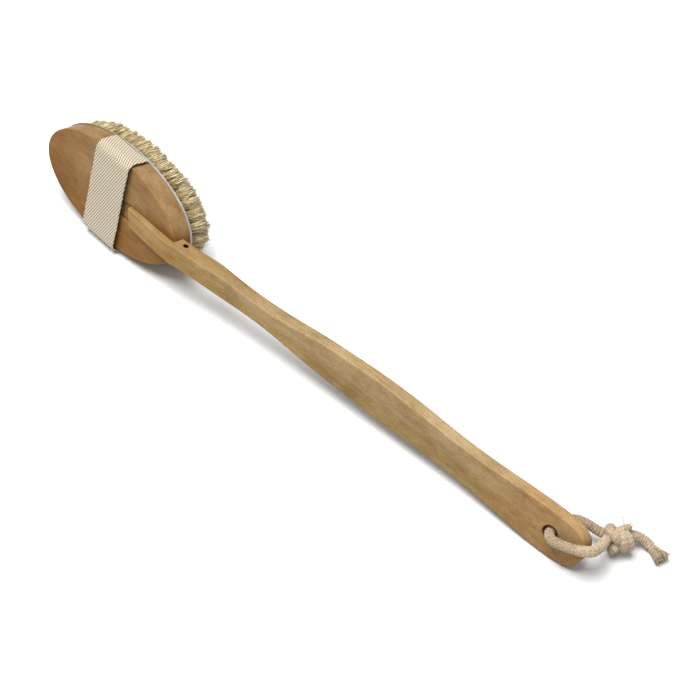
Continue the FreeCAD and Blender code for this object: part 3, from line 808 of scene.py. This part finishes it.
def cotton_material():
    material, tree, shader = new_material("cotton_cord", 0.85, 0.25)
    place = brush_coordinates(tree)
    fibres = stretched_noise(tree, place, (0.35, 0.35, 0.35), 4.0, 0.65)
    patches = stretched_noise(tree, place, (2.4, 2.4, 2.4), 3.0)
    specks = stretched_noise(tree, place, (0.75, 0.55, 0.75), 1.0)
    colour = mix(tree, remap(tree, fibres, 0.3, 0.7), (0.23, 0.17, 0.10), (0.50, 0.41, 0.28))
    colour = mix(tree, remap(tree, patches, 0.4, 0.75, 0.0, 0.4), colour, (0.24, 0.18, 0.11))
    colour = mix(tree, remap(tree, specks, 0.49, 0.66, 0.0, 0.8), colour, (0.15, 0.105, 0.06))
    along = node(tree, "ShaderNodeSeparateXYZ", {0: place}).outputs["X"]
    # painted light and shade: the knot and ends are made paler, the loop by the hole darker
    knot_painted_light = mix(tree, 1.0, colour, (1.13, 1.13, 1.13), "MULTIPLY")
    loop_painted_shade = mix(tree, 1.0, colour, (0.84, 0.81, 0.77), "MULTIPLY")
    colour = mix(tree, remap(tree, along, 379.0, 368.0), knot_painted_light, loop_painted_shade)
    tree.links.new(colour, shader.inputs["Base Color"])
    tree.links.new(remap(tree, fibres, 0.3, 0.7, 0.78, 0.92), shader.inputs["Roughness"])
    add_bump(tree, shader, fibres, 0.5, 0.15 * MM)
    shader.inputs["Sheen Weight"].default_value = 0.25
    shader.inputs["Sheen Roughness"].default_value = 0.5
    return material


def cord_piece(name, tubes):
    vertices, faces = join_tubes(tubes)
    piece = add_mesh(name, vertices, faces, [cotton])
    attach(piece, GRIP_BODY)
    return piece


# the knot's strands, in millimetres from its centre: to the right, up and to the front, where the
# front faces the open side of the hanging loop
KNOT_RIGHT = (0.6959, 0.2724, -0.6645)
KNOT_UP = (-0.5857, 0.7507, -0.3056)
KNOT_FRONT = (0.4156, 0.6018, 0.6819)
KNOT_STRANDS = (
    ((-7.0, -0.6, -0.4), (-4.6, 0.6, -0.2), (-2.4, 0.8, -0.6), (0.6, 0.4, -1.2), (3.0, 0.2, -2.0)),
    ((-6.0, 2.4, -2.6), (-3.4, 2.0, -2.2), (-0.4, 1.0, -1.6), (2.0, 0.6, -1.2)),
    ((-2.0, 3.0, -3.4), (-3.6, 5.5, -2.0), (-5.1, 5.8, 1.2), (-5.8, 4.6, 5.0), (-4.4, 3.0, 7.6),
     (-2.4, 0.9, 7.8), (-0.9, -0.8, 5.2), (0.2, -2.2, 1.8)),
    ((-0.6, -1.2, 0.8), (-1.8, -2.8, 3.8), (-3.5, -4.8, 4.4), (-4.4, -6.0, 1.2), (-3.6, -5.4, -2.4),
     (-1.2, -2.6, -3.6)),
    ((-1.6, 0.6, -4.2), (-1.0, 3.4, -2.0), (0.1, 3.8, 2.4), (0.7, 2.2, 6.2), (1.4, -0.7, 7.2),
     (2.1, -3.6, 5.4), (2.4, -5.1, 1.0), (1.8, -3.4, -2.8)),
    ((1.4, 0.8, -4.0), (2.8, 2.4, -1.6), (3.6, 2.4, 1.8), (4.4, 0.8, 4.6), (5.2, -1.6, 5.0),
     (5.7, -3.8, 3.0), (5.2, -4.6, -0.4), (3.6, -2.8, -3.2)),
)
KNOT_STRAND_RADIUS = 2.8 * MM
FRAY_START = 0.66               # share of the long end after which only loose yarns are left


def knot_tubes():
    axes = np.array((KNOT_RIGHT, KNOT_UP, KNOT_FRONT))
    tubes = []
    for strand in KNOT_STRANDS:
        route = np.array(strand) * MM @ axes + np.array(KNOT_CENTRE)
        vertices, faces = plaited_tube(route, KNOT_STRAND_RADIUS)[0]
        vertices[:, 2] = np.maximum(vertices[:, 2], FLOOR_MARGIN)
        tubes.append((vertices, faces))
    return tubes


def build_cord():
    loop_tube, loop_points = plaited_tube(CORD_ROUTE, CORD_DIAMETER / 2)
    loop = cord_piece("cord_loop", [loop_tube])
    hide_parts("hanging_cord")
    knot = cord_piece("cord_overhand_knot", knot_tubes())
    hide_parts("cord_knot")
    long_tube, long_points = plaited_tube(LONG_TAIL_ROUTE, CORD_DIAMETER / 2,
                                          ((0.0, 0.6, 0.72, 1.0), (1.0, 1.06, 0.85, 0.5)))
    cut = int(len(long_points) * FRAY_START)
    heading = long_points[-1] - long_points[cut]
    frays = wisps(long_points[cut], heading, 0.34, 260, 9.6 * MM, 0.21 * MM, 2.2 * MM, 0.4 * MM)
    long_tail = cord_piece("cord_long_end", [long_tube] + frays)
    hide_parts("cord_tail_long")
    short_tube, short_points = plaited_tube(SHORT_TAIL_ROUTE, CORD_DIAMETER / 2,
                                            ((0.0, 0.6, 1.0), (0.95, 0.75, 0.45)))
    short_heading = BRUSH_TURN @ (2.5 * np.array(KNOT_RIGHT) + 6.0 * np.array(KNOT_UP))
    short_frays = wisps(short_points[len(short_points) // 2], short_heading, 0.8, 60, 7.6 * MM, 0.04 * MM,
                        2.4 * MM, 0.0)
    short_tail = cord_piece("cord_short_end", [short_tube] + short_frays)
    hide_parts("cord_tail_short")
    loose = cord_piece("cord_loose_fibres", fuzz(loop_points, CORD_DIAMETER / 2, 420, 1.3 * MM, 0.035 * MM)
                       + hanging_fibre())


FIBRE_ROUTE = ((0.3578, -0.0020, -0.0245), (0.3590, -0.0066, -0.0256), (0.3632, -0.0102, -0.0262),
               (0.3682, -0.0122, -0.0266), (0.3697, -0.0130, -0.0270))


def hanging_fibre():
    points = nurbs_points(FIBRE_ROUTE, 0.6 * MM)[0]
    return [tube_mesh(points, 0.24 * MM * np.linspace(1.0, 0.6, len(points)), 5)]


# ------------------------------------------------------------------ table

TABLE_HALF = 4.0


def build_table():
    material, tree, shader = new_material("table_white", 0.9, 0.1)
    place = node(tree, "ShaderNodeTexCoord").outputs["Object"]
    faint = node(tree, "ShaderNodeTexNoise", {"Vector": place, "Scale": 3.0, "Detail": 2.0})
    tree.links.new(mix(tree, faint.outputs["Fac"], (0.71, 0.71, 0.71), (0.73, 0.73, 0.73)),
                   shader.inputs["Base Color"])
    half = TABLE_HALF
    corners = [(-half, -half, 0.0), (half, -half, 0.0), (half, half, 0.0), (-half, half, 0.0)]
    table = add_mesh("table", corners, [[0, 1, 2, 3]], [material])


# ------------------------------------------------------------------ scene

add_camera()
add_world(WORLD_STRENGTH)
add_area_light("softbox", LIGHT_PLACE, (0.0, 0.0, 0.0), LIGHT_SIZE, LIGHT_POWER)
bpy.context.scene.view_settings.view_transform = "Standard"
build_table()

cotton = cotton_material()
build_cord()

pale_bristle = bristle_material("pale_bristle", (0.18, 0.11, 0.032), (0.36, 0.26, 0.10),
                                (0.82, 0.71, 0.45), 0.45)
dark_bristle = bristle_material("dark_bristle", (0.06, 0.04, 0.025), (0.05, 0.038, 0.027),
                                (0.12, 0.09, 0.06), 0.4)
for ring_number in RING_NUMBERS:
    bristle_ring(ring_number, HAIRS_OUTER if ring_number == 1 else HAIRS_INNER)
stray_hairs()

webbing = webbing_material()
strap_piece()

use_material("head_back", head_wood())
use_material("handle", handle_wood())
use_material("liner_sheet", liner_plastic())
wire = wire_steel()
for ring_number in RING_NUMBERS:
    use_material("tuft_anchors_%d" % ring_number, wire)
for side_name in ("upper", "lower"):
    use_material("strap_staples_" + side_name, wire)
